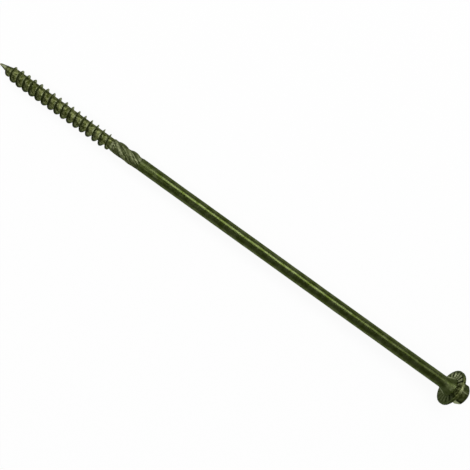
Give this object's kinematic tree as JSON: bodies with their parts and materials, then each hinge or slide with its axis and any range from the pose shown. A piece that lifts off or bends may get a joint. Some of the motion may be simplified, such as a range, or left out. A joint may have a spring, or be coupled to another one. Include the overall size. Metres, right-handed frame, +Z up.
{
  "type": "construction screw",
  "caption": "Long timber screw with slashed cone point, coarse right-hand thread, twisted flutes, plain shank, coned neck, serrated round flange and hex head.",
  "frame": {"origin": "middle of the bounding box, on the surface that the screw lies on", "axes": "+X from the head towards the point, along the length; +Z up; the axis of the screw slopes down by about one degree from the head to the point"},
  "size_m": [0.226, 0.0152, 0.0153],
  "materials": {
    "coated_steel": "glossy dark olive green corrosion-resistant coating on steel"
  },
  "bodies": {
    "root": {"screw": "coated_steel"}
  },
  "joints": []
}
